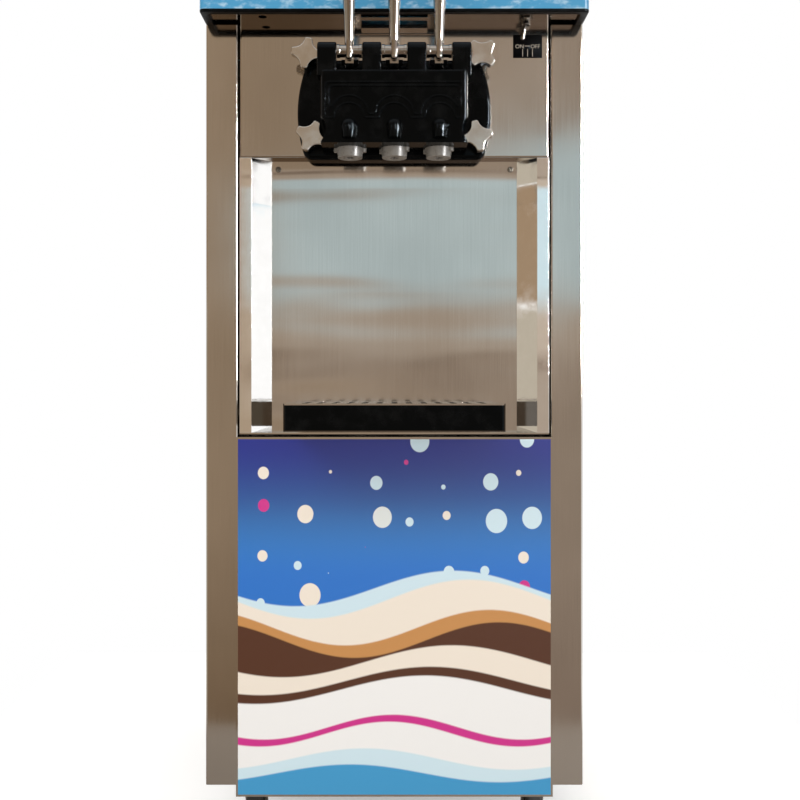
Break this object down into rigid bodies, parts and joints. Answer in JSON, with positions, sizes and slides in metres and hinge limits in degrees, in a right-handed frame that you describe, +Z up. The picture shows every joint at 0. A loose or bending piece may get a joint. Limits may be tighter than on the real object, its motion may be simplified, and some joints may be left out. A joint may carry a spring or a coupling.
{
  "type": "soft-serve ice cream machine",
  "caption": "Floor-standing soft-serve ice cream machine on casters: steel cabinet, black dispensing head with pull-down handles, splash recess, drip tray and lidded hoppers.",
  "frame": {"origin": "on the floor, under the middle of the whole object's box", "axes": "+Z up, +X to the right of a user who faces the machine, +Y from the user to the back"},
  "size_m": [0.54, 0.765, 1.338],
  "materials": {
    "brushed_steel": "brushed",
    "polished_steel": "polished",
    "black_gloss": "gloss",
    "black_plastic": "satin",
    "cap_plastic": "satin",
    "header_print": "gloss print",
    "picture_print": "gloss print",
    "machine_paint": "enamel",
    "bare_aluminium": "satin",
    "zinc_plate": "zinc plated",
    "wheel_rubber": "matte"
  },
  "bodies": {
    "cabinet": {"side_panel_left": "brushed_steel", "side_panel_right": "brushed_steel", "rear_panel": "brushed_steel", "base_pan": "brushed_steel", "fascia": "brushed_steel", "splash_plate": "brushed_steel", "header_underside": "brushed_steel", "header_bracket": "brushed_steel", "top_deck": "brushed_steel", "tray_holder": "brushed_steel", "machine_shelf": "brushed_steel", "hopper_left": "brushed_steel", "hopper_right": "brushed_steel", "freezer_barrels": "brushed_steel", "feed_tube_left": "brushed_steel", "feed_tube_right": "brushed_steel", "splash_cheeks": "polished_steel", "handle_pin": "polished_steel", "switch_body": "polished_steel", "dispensing_head": "black_gloss", "header_edging": "black_plastic", "control_box": "black_plastic", "header_shell": "header_print", "gear_motor_left": "machine_paint", "gear_motor_right": "machine_paint", "compressor": "machine_paint", "fan_shroud": "machine_paint", "condenser": "bare_aluminium", "caster_plates": "zinc_plate"},
    "handle_left": {"handle_left": "polished_steel"},
    "plunger_left": {"plunger_left": "black_plastic"},
    "nozzle_cap_left": {"nozzle_cap_left": "cap_plastic"},
    "handle_centre": {"handle_centre": "polished_steel"},
    "plunger_centre": {"plunger_centre": "black_plastic"},
    "nozzle_cap_centre": {"nozzle_cap_centre": "cap_plastic"},
    "handle_right": {"handle_right": "polished_steel"},
    "plunger_right": {"plunger_right": "black_plastic"},
    "nozzle_cap_right": {"nozzle_cap_right": "cap_plastic"},
    "star_knob_upper_left": {"star_knob_upper_left": "polished_steel"},
    "star_knob_upper_right": {"star_knob_upper_right": "polished_steel"},
    "star_knob_lower_left": {"star_knob_lower_left": "polished_steel"},
    "star_knob_lower_right": {"star_knob_lower_right": "polished_steel"},
    "switch_lever": {"switch_lever": "polished_steel"},
    "hopper_lid_left": {"hopper_lid_left": "black_plastic"},
    "beater_left": {"beater_left": "bare_aluminium"},
    "hopper_lid_right": {"hopper_lid_right": "black_plastic"},
    "beater_right": {"beater_right": "bare_aluminium"},
    "drip_tray": {"drip_tray": "black_gloss"},
    "drip_grid": {"drip_grid": "brushed_steel"},
    "front_panel": {"front_panel": "brushed_steel", "picture_panel": "picture_print"},
    "condenser_fan": {"condenser_fan": "bare_aluminium"},
    "caster_fork_front_left": {"caster_fork_front_left": "zinc_plate"},
    "caster_wheel_front_left": {"caster_wheel_front_left": "wheel_rubber"},
    "caster_fork_front_right": {"caster_fork_front_right": "zinc_plate"},
    "caster_wheel_front_right": {"caster_wheel_front_right": "wheel_rubber"},
    "caster_fork_rear_left": {"caster_fork_rear_left": "zinc_plate"},
    "caster_wheel_rear_left": {"caster_wheel_rear_left": "wheel_rubber"},
    "caster_fork_rear_right": {"caster_fork_rear_right": "zinc_plate"},
    "caster_wheel_rear_right": {"caster_wheel_rear_right": "wheel_rubber"}
  },
  "joints": [
    {"name": "handle_pull_left", "type": "hinge", "parent": "cabinet", "child": "handle_left", "pos_m": [-0.061, -0.3275, 1.1265], "axis": [1, 0, 0], "range_deg": [0, 75]},
    {"name": "plunger_lift_left", "type": "slide", "parent": "cabinet", "child": "plunger_left", "axis": [0, 0, 1], "range_m": [0, 0.0265]},
    {"name": "nozzle_turn_left", "type": "hinge", "parent": "cabinet", "child": "nozzle_cap_left", "pos_m": [-0.061, -0.3075, 0.992], "axis": [0, 0, 1], "range_deg": [-30, 30]},
    {"name": "handle_pull_centre", "type": "hinge", "parent": "cabinet", "child": "handle_centre", "pos_m": [0, -0.3275, 1.1265], "axis": [1, 0, 0], "range_deg": [0, 75]},
    {"name": "plunger_lift_centre", "type": "slide", "parent": "cabinet", "child": "plunger_centre", "axis": [0, 0, 1], "range_m": [0, 0.0265]},
    {"name": "nozzle_turn_centre", "type": "hinge", "parent": "cabinet", "child": "nozzle_cap_centre", "pos_m": [0, -0.3075, 0.992], "axis": [0, 0, 1], "range_deg": [-30, 30]},
    {"name": "handle_pull_right", "type": "hinge", "parent": "cabinet", "child": "handle_right", "pos_m": [0.061, -0.3275, 1.1265], "axis": [1, 0, 0], "range_deg": [0, 75]},
    {"name": "plunger_lift_right", "type": "slide", "parent": "cabinet", "child": "plunger_right", "axis": [0, 0, 1], "range_m": [0, 0.0265]},
    {"name": "nozzle_turn_right", "type": "hinge", "parent": "cabinet", "child": "nozzle_cap_right", "pos_m": [0.061, -0.3075, 0.992], "axis": [0, 0, 1], "range_deg": [-30, 30]},
    {"name": "star_knob_upper_left_turn", "type": "hinge", "parent": "cabinet", "child": "star_knob_upper_left", "pos_m": [-0.122, -0.2975, 1.1335], "axis": [0, 1, 0], "continuous": true},
    {"name": "star_knob_upper_right_turn", "type": "hinge", "parent": "cabinet", "child": "star_knob_upper_right", "pos_m": [0.122, -0.2975, 1.1335], "axis": [0, 1, 0], "continuous": true},
    {"name": "star_knob_lower_left_turn", "type": "hinge", "parent": "cabinet", "child": "star_knob_lower_left", "pos_m": [-0.1155, -0.2975, 1.0185], "axis": [0, 1, 0], "continuous": true},
    {"name": "star_knob_lower_right_turn", "type": "hinge", "parent": "cabinet", "child": "star_knob_lower_right", "pos_m": [0.1155, -0.2975, 1.0185], "axis": [0, 1, 0], "continuous": true},
    {"name": "switch_toggle", "type": "hinge", "parent": "cabinet", "child": "switch_lever", "pos_m": [0.186, -0.2775, 1.186], "axis": [0, 1, 0], "range_deg": [-24, 0]},
    {"name": "hopper_lid_lift_left", "type": "slide", "parent": "cabinet", "child": "hopper_lid_left", "axis": [0, 0, 1], "range_m": [0, 0.1]},
    {"name": "beater_spin_left", "type": "hinge", "parent": "cabinet", "child": "beater_left", "pos_m": [-0.065, -0.1, 1.062], "axis": [0, 1, 0], "continuous": true},
    {"name": "hopper_lid_lift_right", "type": "slide", "parent": "cabinet", "child": "hopper_lid_right", "axis": [0, 0, 1], "range_m": [0, 0.1]},
    {"name": "beater_spin_right", "type": "hinge", "parent": "cabinet", "child": "beater_right", "pos_m": [0.065, -0.1, 1.062], "axis": [0, 1, 0], "continuous": true},
    {"name": "drip_tray_pull", "type": "slide", "parent": "cabinet", "child": "drip_tray", "axis": [0, -1, 0], "range_m": [0, 0.12]},
    {"name": "drip_grid_lift", "type": "slide", "parent": "drip_tray", "child": "drip_grid", "axis": [0, 0, 1], "range_m": [0, 0.05]},
    {"name": "front_panel_off", "type": "slide", "parent": "cabinet", "child": "front_panel", "axis": [0, -1, 0], "range_m": [0, 0.1]},
    {"name": "fan_spin", "type": "hinge", "parent": "cabinet", "child": "condenser_fan", "pos_m": [-0.095, 0.27, 0.237], "axis": [0, 1, 0], "continuous": true},
    {"name": "caster_swivel_front_left", "type": "hinge", "parent": "cabinet", "child": "caster_fork_front_left", "pos_m": [-0.21, -0.1825, 0.08], "axis": [0, 0, 1], "continuous": true},
    {"name": "caster_roll_front_left", "type": "hinge", "parent": "caster_fork_front_left", "child": "caster_wheel_front_left", "pos_m": [-0.21, -0.1585, 0.0375], "axis": [1, 0, 0], "continuous": true},
    {"name": "caster_swivel_front_right", "type": "hinge", "parent": "cabinet", "child": "caster_fork_front_right", "pos_m": [0.21, -0.1825, 0.08], "axis": [0, 0, 1], "continuous": true},
    {"name": "caster_roll_front_right", "type": "hinge", "parent": "caster_fork_front_right", "child": "caster_wheel_front_right", "pos_m": [0.21, -0.1585, 0.0375], "axis": [1, 0, 0], "continuous": true},
    {"name": "caster_swivel_rear_left", "type": "hinge", "parent": "cabinet", "child": "caster_fork_rear_left", "pos_m": [-0.21, 0.3075, 0.08], "axis": [0, 0, 1], "continuous": true},
    {"name": "caster_roll_rear_left", "type": "hinge", "parent": "caster_fork_rear_left", "child": "caster_wheel_rear_left", "pos_m": [-0.21, 0.3315, 0.0375], "axis": [1, 0, 0], "continuous": true},
    {"name": "caster_swivel_rear_right", "type": "hinge", "parent": "cabinet", "child": "caster_fork_rear_right", "pos_m": [0.21, 0.3075, 0.08], "axis": [0, 0, 1], "continuous": true},
    {"name": "caster_roll_rear_right", "type": "hinge", "parent": "caster_fork_rear_right", "child": "caster_wheel_rear_right", "pos_m": [0.21, 0.3315, 0.0375], "axis": [1, 0, 0], "continuous": true}
  ],
  "couplings": [
    {"joint": "plunger_lift_left", "follows": "handle_pull_left", "m_per_rad": 0.019978},
    {"joint": "plunger_lift_centre", "follows": "handle_pull_centre", "m_per_rad": 0.019978},
    {"joint": "plunger_lift_right", "follows": "handle_pull_right", "m_per_rad": 0.019978}
  ]
}
